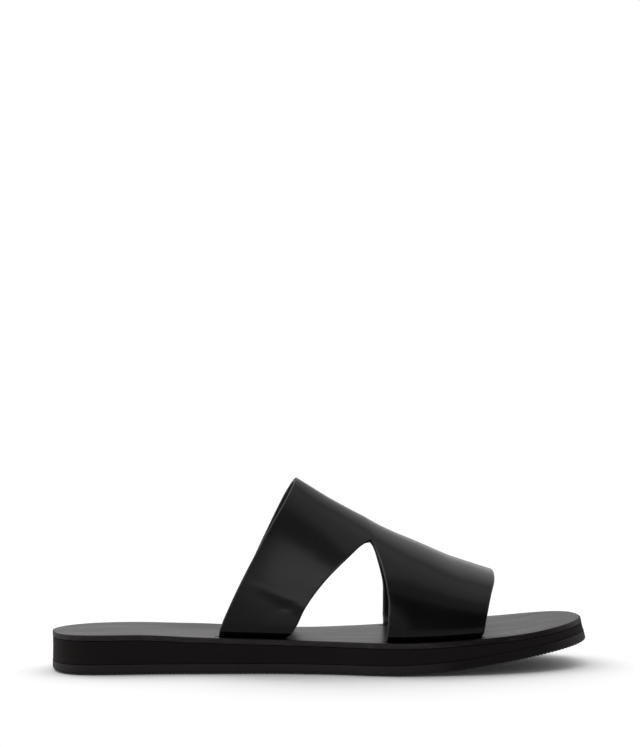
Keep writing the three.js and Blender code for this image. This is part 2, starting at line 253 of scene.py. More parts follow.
    def footbed_bottom(self, x: Array, y: Array) -> Array:
        """Height of the footbed's underside."""
        return self.midsole_top(x, y) + self.layer_gap

    def footbed_top(self, x: Array, y: Array) -> Array:
        """Height of the face that the foot stands on."""
        return self.footbed_bottom(x, y) + self.footbed_thick

    def bent(self, flat: Array) -> Array:
        """Bends points of the flat frame with the forepart and puts them in the row frame.

        Args:
            flat: Points with the columns x, y and h, in millimetres.

        Returns:
            The points in metres.
        """
        x, y, h = flat.T
        angle = np.clip((x - self.bend_from) / self.bend_radius, 0, self.toe_angle)
        ramp = np.maximum(0, x - self.bend_from - self.bend_length)
        radius = self.bend_radius - h
        along = np.minimum(x, self.bend_from) + radius * np.sin(angle) + ramp * np.cos(angle)
        up = self.bend_radius - radius * np.cos(angle) + ramp * np.sin(angle)
        widest = {side: self.breadth_marks(side)[-1].at for side in Side}
        reach = {side: float(self.half_breadth(side, np.array([widest[side]]))[0]) for side in Side}
        middle = (reach[Side.INNER] - reach[Side.OUTER]) / 2
        return np.column_stack([along - self.length / 2, y - middle, up]) * MM


# Meshes


@dataclass
class Skin:
    """Points of the flat frame and faces between them, each face with the number of its finish."""

    points: list[Array] = field(default_factory=list)
    faces: list[Array] = field(default_factory=list)
    finishes: list[Array] = field(default_factory=list)
    count: int = 0

    def add(self, points: Array) -> Array:
        """Adds points and returns their numbers, in the shape that the points came in."""
        flat = points.reshape(-1, 3)
        self.points.append(flat)
        numbers = np.arange(self.count, self.count + len(flat)).reshape(points.shape[:-1])
        self.count += len(flat)
        return numbers

    def quads(self, grid: Array, finish: int = 0, flip: bool = False) -> None:
        """Adds the faces of a grid of point numbers.

        Args:
            grid: Point numbers, rows by columns.
            finish: The finish of these faces.
            flip: Turns the faces the other way.
        """
        low, high = grid[:-1], grid[1:]
        quads = np.stack([low[:, :-1], low[:, 1:], high[:, 1:], high[:, :-1]], axis=-1).reshape(-1, 4)
        self.faces.append(quads[:, ::-1] if flip else quads)
        self.finishes.append(np.full(len(quads), finish))

    def made(self, name: str, last: Last, bend: Optional[Callable[[Array], Array]] = None) -> bpy.types.Object:
        """Makes the object.

        Args:
            name: The object's name.
            last: The last that bends the points.
            bend: Moves the points before they are bent, such as for creases.

        Returns:
            The new object, at the origin.
        """
        flat = np.concatenate(self.points)
        if bend:
            flat = bend(flat)
        finishes = np.concatenate(self.finishes)
        faces = [list(dict.fromkeys(face)) for face in np.concatenate(self.faces).tolist()]
        kept = [i for i, face in enumerate(faces) if len(face) > 2]
        mesh = bpy.data.meshes.new(name)
        mesh.from_pydata(last.bent(flat).tolist(), [], [faces[i] for i in kept])
        mesh.polygons.foreach_set("material_index", finishes[kept].astype(np.int32))
        mesh.update()
        return link(bpy.data.objects.new(name, mesh))


def link(piece: bpy.types.Object) -> bpy.types.Object:
    """Puts an object in the scene."""
    bpy.context.scene.collection.objects.link(piece)
    return piece


def modifier(piece: bpy.types.Object, kind: str, **settings: object) -> bpy.types.Modifier:
    """Adds a modifier with its settings."""
    made = piece.modifiers.new(kind.lower(), kind)
    for name, value in settings.items():
        setattr(made, name, value)
    return made


def settled(piece: bpy.types.Object, sharp: float = 35.0) -> bpy.types.Object:
    """Turns what the modifiers make into the object's own mesh and shades it smooth.

    Args:
        piece: The object with its modifiers.
        sharp: Edges that turn by more than this many degrees stay sharp.

    Returns:
        The same object, with no modifiers.
    """
    graph = bpy.context.evaluated_depsgraph_get()
    mesh = bpy.data.meshes.new_from_object(piece.evaluated_get(graph), depsgraph=graph)
    piece.modifiers.clear()
    old, piece.data = piece.data, mesh
    bpy.data.meshes.remove(old)
    mesh.name = piece.name
    mesh.polygons.foreach_set("use_smooth", np.ones(len(mesh.polygons), bool))
    mesh.set_sharp_from_angle(angle=math.radians(sharp))
    return piece


def dressed(piece: bpy.types.Object, *finishes: bpy.types.Material) -> None:
    """Gives a piece its finishes. Each face keeps the number of its own."""
    numbers = np.zeros(len(piece.data.polygons), np.int32)
    piece.data.polygons.foreach_get("material_index", numbers)
    piece.data.materials.clear()
    for finish in finishes:
        piece.data.materials.append(finish)
    piece.data.polygons.foreach_set("material_index", numbers)


def seated(piece: bpy.types.Object, slot: str, node: Optional[str] = None) -> None:
    """Rides a piece on the root, hides the node that it stands for, and reports it with its slot."""
    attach(piece, "root")
    if node:
        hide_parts(node)
    triangles = sum(len(face.vertices) - 2 for face in piece.data.polygons)
    LOG.info("%s: %d triangles, slot %s", piece.name, triangles, slot)


# Shaders


class Value:
    """A shader socket that can be used in an expression."""

    def __init__(self, shader: "Shader", socket: bpy.types.NodeSocket) -> None:
        """Wraps an output socket of a shader."""
        self.shader = shader
        self.socket = socket

    def math(self, operation: str, *values: "Number") -> "Value":
        """Adds a Math node with these values."""
        return self.shader.node("ShaderNodeMath", {"operation": operation}, dict(enumerate(values)))

    def __add__(self, other: "Number") -> "Value":
        """Adds."""
        return self.math("ADD", self, other)

    def __sub__(self, other: "Number") -> "Value":
        """Subtracts."""
        return self.math("SUBTRACT", self, other)

    def __rsub__(self, other: "Number") -> "Value":
        """Is subtracted."""
        return self.math("SUBTRACT", other, self)

    def __mul__(self, other: "Number") -> "Value":
        """Multiplies."""
        return self.math("MULTIPLY", self, other)

    __radd__ = __add__
    __rmul__ = __mul__

    def between(self, low: float, high: float) -> "Value":
        """Grows smoothly from 0 at low to 1 at high."""
        settings = {"interpolation_type": "SMOOTHSTEP"}
        return self.shader.node("ShaderNodeMapRange", settings, {"Value": self, 1: low, 2: high})


Number = Union[Value, float]


class Shader:
    """The node tree of a material or of the world, with one method that makes any node."""

    def __init__(self, owner: Union[bpy.types.Material, bpy.types.World, str]) -> None:
        """Starts an empty tree, in a new material if a name is given."""
        self.owner = bpy.data.materials.new(owner) if isinstance(owner, str) else owner
        self.owner.use_nodes = True
        self.tree = self.owner.node_tree
        self.tree.nodes.clear()

    def node(self, kind: str, settings: dict[str, object], sockets: dict, output: Union[int, str] = 0) -> Value:
        """Makes a node.

        Args:
            kind: The node's type.
            settings: Its settings, set first.
            sockets: A value or a link for each input, by name or number.
            output: The output that is wanted.

        Returns:
            That output.
        """
        made = self.tree.nodes.new(kind)
        for name, value in settings.items():
            setattr(made, name, value)
        for key, value in sockets.items():
            if isinstance(value, Value):
                self.tree.links.new(value.socket, made.inputs[key])
            else:
                made.inputs[key].default_value = value
        return Value(self, made.outputs[output])

    def place(self, stretch: tuple[float, float, float] = (1, 1, 1)) -> Value:
        """Object coordinates, stretched along each axis."""
        where = self.node("ShaderNodeTexCoord", {}, {}, "Object")
        return self.node("ShaderNodeMapping", {}, {"Vector": where, "Scale": stretch})

    def forepart(self) -> Value:
        """1 along the ball of the foot and 0 at the toe's tip, waist and heel, with soft ends; it marks where shade
        is painted.
        """
        along = self.node("ShaderNodeSeparateXYZ", {}, {"Vector": self.place()}, "X")
        return along.between(0.046, 0.07) - along.between(0.108, 0.136)

    def noise(self, size: float, detail: float = 2.0, stretch: tuple[float, float, float] = (1, 1, 1)) -> Value:
        """Noise around 0.5.

        Args:
            size: Size of its blotches in millimetres.
            detail: How many finer layers it has.
            stretch: How much it is squeezed along each axis.

        Returns:
            The noise value.
        """
        sockets = {"Vector": self.place(stretch), "Scale": 1 / (size * MM), "Detail": detail}
        return self.node("ShaderNodeTexNoise", {}, sockets)

    def cells(self, size: float, feature: str = "DISTANCE_TO_EDGE") -> Value:
        """Distance to the nearest cell edge of a grain, for cells of a size in millimetres."""
        sockets = {"Vector": self.place(), "Scale": 1 / (size * MM)}
        return self.node("ShaderNodeTexVoronoi", {"feature": feature}, sockets)

    def mixed(self, share: Number, low: Colour, high: Colour) -> Value:
        """Mixes two colours."""
        sockets = {0: share, 6: low, 7: high}
        return self.node("ShaderNodeMix", {"data_type": "RGBA"}, sockets, 2)

    def bumped(self, height: Value, depth: float, strength: float = 1.0, under: Optional[Value] = None) -> Value:
        """Normal bumped by a height.

        Args:
            height: The height, around 0 to 1.
            depth: What a height of 1 is, in millimetres.
            strength: Strength of the bump.
            under: A normal that this one is laid over.

        Returns:
            The normal.
        """
        sockets = {"Height": height, "Distance": depth * MM, "Strength": strength}
        if under:
            sockets["Normal"] = under
        return self.node("ShaderNodeBump", {}, sockets)

    def finished(self, sockets: dict[str, object]) -> bpy.types.Material:
        """Ends the material in a Principled shader with these sockets."""
        self.output(self.node("ShaderNodeBsdfPrincipled", {}, sockets))
        return self.owner

    def output(self, surface: Value, kind: str = "Material") -> None:
        """Links a surface to the tree's output."""
        out = self.tree.nodes.new("ShaderNodeOutput" + kind)
        self.tree.links.new(surface.socket, out.inputs["Surface"])


def grey(level: float, warmth: float = 0.0) -> Colour:
    """A grey of a linear level, a little warmer or cooler."""
    return (level * (1 + warmth), level, level * (1 - warmth * 0.1), 1.0)


@dataclass(frozen=True)
class UpperLeather:
    """Smooth black leather with a soft gloss."""

    dark: float = 0.001
    light: float = 0.0022
    rough: float = 0.155
    rough_spread: float = 0.05
    grain_size: float = 0.9
    grain_depth: float = 0.012
    drape_size: float = 26.0
    drape_depth: float = 0.35

    def material(self) -> bpy.types.Material:
        """Makes the material."""
        shader = Shader("upper_leather")
        blotch = shader.noise(18, 3)
        fine = shader.noise(0.35, 2)
        pores = shader.cells(self.grain_size).between(0.0, 0.12)
        drape = shader.bumped(shader.noise(self.drape_size, 1), self.drape_depth)
        grain = shader.bumped(pores * 0.6 + fine * 0.4, self.grain_depth, 1.0, drape)
        return shader.finished(
            {
                "Base Color": shader.mixed(blotch, grey(self.dark), grey(self.light)),
                "Roughness": blotch * self.rough_spread + fine * 0.06 + (self.rough - self.rough_spread / 2),
                "Normal": grain,
                "IOR": 1.5,
            }
        )


@dataclass(frozen=True)
class LiningLeather:
    """The flesh side of the upper, matt with a short nap."""

    level: float = 0.012
    rough: float = 0.75

    def material(self) -> bpy.types.Material:
        """Makes the material."""
        shader = Shader("upper_lining")
        nap = shader.noise(0.5, 3)
        blotch = shader.noise(12, 2)
        return shader.finished(
            {
                "Base Color": shader.mixed(blotch, grey(self.level * 0.8, 0.04), grey(self.level * 1.3, 0.04)),
                "Roughness": nap * 0.15 + self.rough,
                "Normal": shader.bumped(nap, 0.06),
                "Sheen Weight": 0.1,
            }
        )


@dataclass(frozen=True)
class CutEdge:
    """The cut edge of leather, finished with black ink, with fine lengthwise fibres, and, when set, painted shade
    along the forepart.
    """

    name: str = "cut_edge"
    level: float = 0.008
    rough: float = 0.6
    gloss: float = 0.3
    tint: Colour = (1.0, 1.0, 1.0, 1.0)
    # How much shade is painted along the forepart.
    forepart_shade: float = 0.0

    def material(self) -> bpy.types.Material:
        """Makes the material."""
        shader = Shader(self.name)
        fibres = shader.noise(0.9, 3, (0.25, 0.25, 2.5))
        wear_and_highlight = shader.noise(3.5, 4, (0.5, 0.5, 2.0)).between(0.45, 0.7)
        worn = fibres * 0.4 + wear_and_highlight * 0.6
        # Painted shade: this darkens the edge along the ball of the foot.
        painted_shade = shader.forepart() * self.forepart_shade
        wear_and_shade = worn * 0.6 - painted_shade * 0.6 + 0.4
        return shader.finished(
            {
                "Base Color": shader.mixed(wear_and_shade, grey(0.0), grey(self.level * 2.4, 0.06)),
                "Roughness": fibres * 0.2 + painted_shade * 0.3 + self.rough,
                "Specular IOR Level": self.gloss,
                "Specular Tint": self.tint,
                "Normal": shader.bumped(worn, 0.12),
            }
        )


@dataclass(frozen=True)
class PaintedHighlightRim:
    """The smooth rim between the upper's face and its cut edge, lighter than the leather as a painted highlight."""

    dark: float = 0.008
    light: float = 0.03
    rough: float = 0.16

    def material(self) -> bpy.types.Material:
        """Makes the material."""
        shader = Shader("upper_rim")
        # Painted highlight: the rim's base colour is lighter than the leather's, in patches.
        wear_and_highlight = shader.noise(9.0, 3, (0.6, 0.6, 1.0)).between(0.3, 0.65)
        fine = shader.noise(0.35, 2)
        return shader.finished(
            {
                "Base Color": shader.mixed(wear_and_highlight, grey(self.dark), grey(self.light)),
                "Roughness": fine * 0.1 + self.rough,
                "Normal": shader.bumped(fine, 0.02),
                "IOR": 1.6,
            }
        )


@dataclass(frozen=True)
class FootbedLeather:
    """Dark footbed leather: fine lengthwise grain, a faint sheen at a low angle."""

    dark: float = 0.013
    light: float = 0.024
    rough: float = 0.29
    warmth: float = 0.26
    grain_depth: float = 0.022

    def material(self) -> bpy.types.Material:
        """Makes the material."""
        shader = Shader("footbed_leather")
        blotch = shader.noise(15, 3)
        streaks = shader.noise(1.2, 3, (0.12, 1.0, 1.0))
        bands = shader.noise(6.0, 3, (0.12, 1.0, 1.0)).between(0.3, 0.7)
        pores = shader.cells(0.8).between(0.0, 0.15)
        return shader.finished(
            {
                "Base Color": shader.mixed(
                    bands * 0.6 + blotch * 0.4, grey(self.dark, self.warmth), grey(self.light, self.warmth)
                ),
                "Roughness": streaks * 0.07 - bands * 0.05 + self.rough,
                "Normal": shader.bumped(streaks * 0.7 + pores * 0.3, self.grain_depth),
            }
        )


@dataclass(frozen=True)
class FoamRubber:
    """Matt black foam rubber, ground smooth along the wall."""

    level: float = 0.0026
    rough: float = 0.86
    tint: Colour = (1.0, 0.8, 0.84, 1.0)

    def material(self) -> bpy.types.Material:
        """Makes the material."""
        shader = Shader("midsole_foam")
        pits = shader.noise(0.5, 3)
        ground = shader.noise(1.4, 2, (0.2, 0.2, 1.6))
        return shader.finished(
            {
                "Base Color": shader.mixed(ground, grey(self.level * 0.75, 0.1), grey(self.level * 1.3, 0.1)),
                "Roughness": pits * 0.1 + self.rough,
                "Specular Tint": self.tint,
                "Normal": shader.bumped(pits * 0.6 + ground * 0.4, 0.06),
            }
        )


@dataclass(frozen=True)
class OutsoleRubber:
    """Dense black rubber, a little lighter and smoother than the foam, with painted shade that darkens it along the
    forepart.
    """

    level: float = 0.009
    rough: float = 0.66
    tint: Colour = (1.0, 0.9, 0.9, 1.0)

    def material(self) -> bpy.types.Material:
        """Makes the material."""
        shader = Shader("outsole_rubber")
        skin = shader.noise(0.6, 3)
        blotch = shader.noise(20, 2)
        # Painted shade: the rubber is darker along the ball of the foot, and rougher there too.
        shaded_forepart = shader.forepart()
        return shader.finished(
            {
                "Base Color": shader.mixed(
                    blotch * 0.35 - shaded_forepart * 0.52 + 0.65, grey(0.0), grey(self.level * 1.2, 0.1)
                ),
                "Roughness": skin * 0.12 + blotch * 0.08 + shaded_forepart * 0.25 + self.rough,
                "Specular Tint": self.tint,
                "Normal": shader.bumped(skin, 0.04),
            }
        )


# The sole's layers


@dataclass(frozen=True)
class Ring:
    """A ring of a layer's wall: how far it is moved in from the outline, and its height."""

    inset: Inset
    height: Height


def even(inset: float) -> Inset:
    """An inset that is the same all along."""
    return lambda x: np.full(np.shape(x), inset)


def rounded(radius: float, steps: int) -> list[tuple[float, float]]:
    """Inset and depth of the rings of a rounded edge, from the wall to the face."""
    angles = [math.pi / 2 * i / steps for i in range(steps + 1)]
    return [(radius * (1 - math.cos(a)), radius * (1 - math.sin(a))) for a in angles]


@dataclass
class Layer:
    """A layer of the sole: rings for its wall, and gridded faces above and below."""

    last: Last
    name: str
    stations: int = 170
    across: int = 22

    def rings(self) -> list[Ring]:
        """The rings of the wall, from the underside up."""
        raise NotImplementedError

    def skin(self) -> Skin:
        """Lofts the rings and closes both faces. Finish 0 is on the faces, finish 1 on the wall."""
        skin = Skin()
        n = self.stations
        loops = []
        for ring in self.rings():
            top = float(ring.height(np.array([self.last.flat_length]), np.array([0.0]))[0])
            plan = self.last.outline(n, ring.inset, top)
            points = np.column_stack([plan, ring.height(plan[:, 0], plan[:, 1])])
            loops.append((skin.add(points), plan, ring))
        walls = np.array([np.append(numbers, numbers[0]) for numbers, _, _ in loops])
        skin.quads(walls, finish=1)
        for (numbers, plan, ring), flip in ((loops[0], False), (loops[-1], True)):
            outer = np.arange(n + 1)
            inner = (2 * n - outer) % (2 * n)
            share = (np.arange(self.across + 1) / self.across)[None, :, None]
            spread = plan[outer][:, None] * (1 - share) + plan[inner][:, None] * share
            heights = ring.height(spread[..., 0], spread[..., 1])[..., None]
            grid = skin.add(np.concatenate([spread, heights], axis=-1))
            grid[:, 0], grid[:, -1] = numbers[outer], numbers[inner]
            grid[0], grid[-1] = numbers[0], numbers[n]
            skin.quads(grid, finish=0, flip=flip)
        return skin


@dataclass
class Outsole(Layer):
    """The rubber outsole, rounded below, with its ground set back between the ribs of the tread."""

    name: str = "outsole_rubber"
    groove: float = 0.4
    low_round: float = 1.6
    toe_round: float = 0.5
    toe_from: float = 0.5
    toe_run: float = 0.2
    top_round: float = 0.25
    steps: int = 6

    def radius(self, x: Array) -> Array:
        """Radius of the lower edge, which is sharper at the forepart."""
        marks = [Mark(self.toe_from, self.low_round), Mark(self.toe_from + self.toe_run, self.toe_round)]
        return smoothed(marks, x / self.last.flat_length)

    def low_ring(self, angle: float) -> Ring:
        """A ring of the lower edge, at an angle up from the tread."""
        inset, depth = 1 - math.sin(angle), 1 - math.cos(angle)
        return Ring(lambda x: self.radius(x) * inset, lambda x, y: self.groove + self.radius(x) * depth)

    def rings(self) -> list[Ring]:
        """A round lower edge, a plain wall and a small round at the top."""
        top = self.last.outsole_thick
        low = [self.low_ring(math.pi / 2 * i / self.steps) for i in range(self.steps + 1)]
        high = [Ring(even(inset), level(top - depth)) for inset, depth in rounded(self.top_round, 2)]
        return low + high

    def build(self) -> bpy.types.Object:
        """Makes the outsole."""
        return settled(self.skin().made(self.name, self.last))

    def dress(self, piece: bpy.types.Object) -> None:
        """Gives it rubber all over."""
        rubber = OutsoleRubber().material()
        dressed(piece, rubber, rubber)


def level(height: float) -> Height:
    """A height that is the same all over."""
    return lambda x, y: np.full(np.shape(x), height)


def below(height: Height, depth: float) -> Height:
    """A height that is lower than another by a depth."""
    return lambda x, y: height(x, y) - depth


@dataclass
class Midsole(Layer):
    """The foam midsole, its wall ground a little hollow."""

    name: str = "midsole_foam"
    waisting: float = 0.2
    steps: int = 8

    def rings(self) -> list[Ring]:
        """A hollow wall from the underside to the top."""
        return [self.ring(i / self.steps) for i in range(self.steps + 1)]

    def ring(self, share: float) -> Ring:
        """The ring at a share of the wall's height."""
        low, high = self.last.midsole_bottom, self.last.midsole_top
        inset = self.waisting / 2 * (1 + math.sin(math.pi * share))
        return Ring(even(inset), lambda x, y: low(x, y) * (1 - share) + high(x, y) * share)

    def build(self, cutters: bpy.types.Object) -> bpy.types.Object:
        """Makes the midsole, with the recesses of the tabs cut in."""
        piece = self.skin().made(self.name, self.last)
        modifier(piece, "BOOLEAN", object=cutters, operation="DIFFERENCE", solver="EXACT")
        return settled(piece)

    def dress(self, piece: bpy.types.Object) -> None:
        """Gives it foam rubber all over."""
        foam = FoamRubber().material()
        dressed(piece, foam, foam)


@dataclass
class Footbed(Layer):
    """The leather footbed, with four slots close inside its edge."""

    name: str = "footbed_leather"
    top_round: float = 0.6
    low_round: float = 0.3

    def rings(self) -> list[Ring]:
        """A wall with rounded edges."""
        bottom, top = self.last.footbed_bottom, self.last.footbed_top
        low = [Ring(even(inset), below(bottom, -depth)) for inset, depth in reversed(rounded(self.low_round, 2))]
        high = [Ring(even(inset), below(top, depth)) for inset, depth in rounded(self.top_round, 4)]
        return low + high

    def build(self, cutters: bpy.types.Object) -> bpy.types.Object:
        """Makes the footbed, with its slots cut."""
        piece = self.skin().made(self.name, self.last)
        modifier(piece, "BOOLEAN", object=cutters, operation="DIFFERENCE", solver="EXACT")
        return settled(piece)

    def dress(self, piece: bpy.types.Object) -> None:
        """Gives the faces their leather, and the wall and the slots a cut edge."""
        # The edge's last setting paints shade along the forepart.
        edge = CutEdge("footbed_edge", 0.01, 0.62, 0.45, (1.0, 0.88, 0.9, 1.0), 0.7)
        dressed(piece, FootbedLeather().material(), edge.material())


# The upper


@dataclass(frozen=True)
class Crease:
    """A soft trough or ridge in the leather, as seen from the side."""

    side: Side
    along: float
    up: float
    turn: float
    length: float
    width: float
    depth: float


@dataclass
class Upper:
    """The upper: one piece of leather, arched over the foot on four legs."""

    last: Last
    name: str = "upper_leather"
    thick: float = 2.2
    skew: float = math.radians(6.5)
    instep_height: float = 102.0
    vamp_height: float = 44.0
    notch_top: float = 0.677
    notch_along: float = 0.5888
    ridge_offset: float = 3.0
    shoulder: float = 0.2
    slot_inset: float = 8.0
    slot_clearance: float = 0.3
    slot_overrun: float = 2.0
    tab_length: float = 11.0
    tab_sink: float = 0.4
    tab_bend: float = 2.4
    bulge: float = 7.0
    bulge_height: float = 6.0
    bulge_turn: float = 0.35
    slot_reach: float = 0.2
    edge_round: float = 0.42
    sharp: float = 60.0
    corner_turn: float = 0.8
    corner_run: float = 6.0
    rear_columns: int = 44
    front_columns: int = 50
    stretch_steps: tuple[int, int, int, int, int] = (3, 6, 14, 52, 42)
    creases: tuple[Crease, ...] = (
        Crease(Side.OUTER, 0.57, 0.42, 90.0, 18.0, 16.0, -3.0),
        Crease(Side.OUTER, 0.422, 0.388, -27.0, 18.0, 2.6, -0.6),
        Crease(Side.OUTER, 0.427, 0.35, -3.0, 4.2, 1.2, 0.28),
    )

    ridge: tuple[Mark, ...] = (
        Mark(0.2, 1.9),
        Mark(0.3, 1.53),
        Mark(0.4, 1.145),
        Mark(0.458, 0.965),
        Mark(0.518, 0.781),
        Mark(0.6, 0.568),
        Mark(0.703, 0.345),
        Mark(0.796, 0.11),
        Mark(0.86, -0.045),
        Mark(0.92, -0.17),
    )
    rear_edge: tuple[Mark, ...] = (
        Mark(0.05, 0.302, 0.005),
        Mark(0.18, 0.3103, 0.005),
        Mark(0.27, 0.32, 0.005),
        Mark(0.5, 0.3575, 0.003),
        Mark(0.73, 0.401, -0.002),
        Mark(0.96, 0.449, -0.01),
        Mark(1.1, 0.479, -0.01),
    )
    front_edge: tuple[Mark, ...] = (
        Mark(0.05, 0.785),
        Mark(0.183, 0.8031),
        Mark(0.263, 0.813),
        Mark(0.343, 0.8256),
        Mark(0.41, 0.8418),
        Mark(0.5, 0.859),
    )
    notch_rear_edge: tuple[Mark, ...] = (
        Mark(0.05, 0.4),
        Mark(0.18, 0.433),
        Mark(0.227, 0.4498),
        Mark(0.345, 0.4707),
        Mark(0.489, 0.5088),
        Mark(0.636, 0.5617),
        Mark(0.67, 0.5785),
        Mark(0.677, 0.5888),
    )
    notch_front_edge: tuple[Mark, ...] = (
        Mark(0.05, 0.612, 0.003),
        Mark(0.16, 0.6167, 0.003),
        Mark(0.312, 0.6205, 0.003),
        Mark(0.401, 0.6206, 0.003),
        Mark(0.548, 0.61),
        Mark(0.648, 0.595),
        Mark(0.677, 0.5888),
    )

    def to_sole(self, x: Array, y: Array) -> tuple[Array, Array]:
        """Turns places of the upper's own frame about the middle of the heel."""
        cos, sin = math.cos(self.skew), math.sin(self.skew)
        dx = x - self.last.heel_centre
        return self.last.heel_centre + dx * cos + y * sin, y * cos - dx * sin

    def slot_line(self, side: Side, x: Array) -> Array:
        """Where the slots' centre line lies across, in the upper's frame."""
        edge = np.zeros(np.shape(x))
        for _ in range(5):
            at_x, at_y = self.to_sole(x, edge)
            edge = edge + side.value * self.last.half_breadth(side, at_x / self.last.flat_length) - at_y
        return edge - side.value * self.slot_inset

    def ridge_line(self, x: Array) -> Array:
        """Where the ridge lies across."""
        return (self.slot_line(Side.OUTER, x) + self.slot_line(Side.INNER, x)) / 2 + self.ridge_offset

    def ridge_height(self, x: Array) -> Array:
        """Height of the ridge above the tread."""
        rise = self.instep_height - self.vamp_height
        return self.vamp_height + rise * smoothed(self.ridge, x / self.last.length)

    def underneath(self, x: Array, y: Array) -> Array:
        """Height at which a tab lies under the footbed."""
        return self.last.footbed_bottom(*self.to_sole(x, y)) - self.tab_sink - self.thick / 2

    def section(self, side: Side, x: Array, stretch: Stretch, share: Array) -> tuple[Array, Array]:
        """The leather's middle surface.

        Args:
            side: The side of the shoe.
            x: Places along the upper.
            stretch: The stretch of the strap.
            share: Shares along that stretch, one for each place.

        Returns:
            How far across and how high the surface is at each place.
        """
        out = side.value
        slot = self.slot_line(side, x)
        angle = np.pi / 2 * share
        if stretch is Stretch.TAB:
            y = slot - out * (self.tab_bend + self.tab_length * (1 - share))
            return y, self.underneath(x, y)
        if stretch is Stretch.BEND:
            y = slot - out * self.tab_bend * (1 - np.sin(angle))
            return y, self.underneath(x, y) + self.tab_bend * (1 - np.cos(angle))
        top = self.last.footbed_top(*self.to_sole(x, slot))
        if stretch is Stretch.SPREAD:
            early, late = 3 * share * (1 - share) ** 2, 3 * share**2 * (1 - share)
            aside = late + share**3
            rise = self.bulge_turn * (early + late) + share**3
            return slot + out * self.bulge * aside, top + self.bulge_height * rise
        ridge = self.ridge_line(x)
        reach = slot + out * self.bulge - ridge
        rise = self.ridge_height(x) - self.thick / 2 - top - self.bulge_height
        shoulder = 1 + self.shoulder * np.sin(angle) ** 2
        y = ridge + reach * np.cos(angle) * shoulder
        return y, top + self.bulge_height + rise * np.sin(angle)

    def along_at(self, edge: Sequence[Mark], side: Side, stretch: Stretch, share: Array) -> Array:
        """Place along the upper at which an edge meets rows of the surface, found by halving.

        Args:
            edge: The edge as seen from the side.
            side: The side of the shoe.
            stretch: The rows' stretch.
            share: The rows' shares.

        Returns:
            The place along for each row.
        """
        low = np.full(share.shape, self.last.length * (edge[0].value - 0.1))
        high = np.full(share.shape, self.last.length * (edge[-1].value + 0.1))
        for _ in range(26):
            middle = (low + high) / 2
            y, h = self.section(side, middle, stretch, share)
            outer, inner = (self.slot_line(s, middle) for s in Side)
            across = (y - outer) / (inner - outer)
            up = h / self.instep_height
            place = smoothed(edge, up) + across * smoothed(edge, up, trail=True)
            before = middle < self.last.length * place
            low, high = np.where(before, middle, low), np.where(before, high, middle)
        return (low + high) / 2

    def notch_share(self, side: Side) -> float:
        """Share of the arch at which a side's cut-out ends."""
        low, high = 0.0, 1.0
        point = np.array([self.last.length * self.notch_along])
        for _ in range(40):
            middle = (low + high) / 2
            _, h = self.section(side, point, Stretch.ARCH, np.array([middle]))
            low, high = (middle, high) if h[0] < self.notch_top * self.instep_height else (low, middle)
        return (low + high) / 2

    def rows(self, side: Side) -> list[tuple[Stretch, Array, bool]]:
        """The rows of one side from the tabs up, in groups: their stretch, shares, and if they are legs."""
        tab, bend, spread, leg, crown = self.stretch_steps
        notch = self.notch_share(side)
        return [
            (Stretch.TAB, np.arange(tab) / tab, True),
            (Stretch.BEND, np.arange(bend + 1) / bend, True),
            (Stretch.SPREAD, np.arange(spread) / spread, True),
            (Stretch.ARCH, notch * (1 - (1 - np.arange(leg) / leg) ** 1.6), True),
            (Stretch.ARCH, notch + (1 - notch) * np.arange(crown + 1) / crown, False),
        ]

    def block(self, side: Side, stretch: Stretch, share: Array, ends: tuple[Array, Array], count: int) -> Array:
        """Points of a group of rows between two ends along, rows by columns."""
        columns = (np.arange(count + 1) / count)[None, :]
        x = ends[0][:, None] * (1 - columns) + ends[1][:, None] * columns
        y, h = self.section(side, x, stretch, np.broadcast_to(share[:, None], x.shape))
        at_x, at_y = self.to_sole(x, y)
        return np.stack([at_x, at_y, h], axis=-1)

    def sheet(self) -> Skin:
        """The middle surface of the whole upper, facing outwards."""
        skin = Skin()
        point = self.last.length * self.notch_along
        halves = {}
        for side in Side:
            back, fore = [], []
            for stretch, share, legs in self.rows(side):
                rear = self.along_at(self.rear_edge, side, stretch, share)
                front = self.along_at(self.front_edge, side, stretch, share)
                stop = start = np.full(share.shape, point)
                if legs:
                    stop = self.along_at(self.notch_rear_edge, side, stretch, share)
                    start = self.along_at(self.notch_front_edge, side, stretch, share)
                back_rows = skin.add(self.block(side, stretch, share, (rear, stop), self.rear_columns))
                fore_rows = skin.add(self.block(side, stretch, share, (start, front), self.front_columns))
                if not legs:
                    fore_rows[:, 0] = back_rows[:, -1]
                back.append(back_rows)
                fore.append(fore_rows)
            halves[side] = (np.concatenate(back), np.concatenate(fore))
        for outer, inner in zip(halves[Side.OUTER], halves[Side.INNER]):
            inner[-1] = outer[-1]
            skin.quads(np.concatenate([outer, inner[-2::-1]]))
        return skin

    def creased(self, flat: Array) -> Array:
        """Moves the sheet's points in and out for its creases."""
        moved = flat.copy()
        for crease in self.creases:
            cos, sin = math.cos(math.radians(crease.turn)), math.sin(math.radians(crease.turn))
            dx = flat[:, 0] - crease.along * self.last.length
            dh = flat[:, 2] - crease.up * self.instep_height
            along, aside = dx * cos + dh * sin, dh * cos - dx * sin
            near = np.exp(-((along / crease.length) ** 2) - (aside / crease.width) ** 2)
            near = near * (np.sign(flat[:, 1]) == crease.side.value)
            moved[:, 1] -= crease.side.value * crease.depth * near
        return moved

    def build(self) -> bpy.types.Object:
        """Makes the upper: the sheet and its thickness."""
        piece = self.sheet().made(self.name, self.last, self.creased)
        modifier(
            piece,
            "SOLIDIFY",
            thickness=self.thick * MM,
            offset=0.0,
            use_even_offset=True,
            material_offset=1,
            material_offset_rim=2,
        )
        return piece

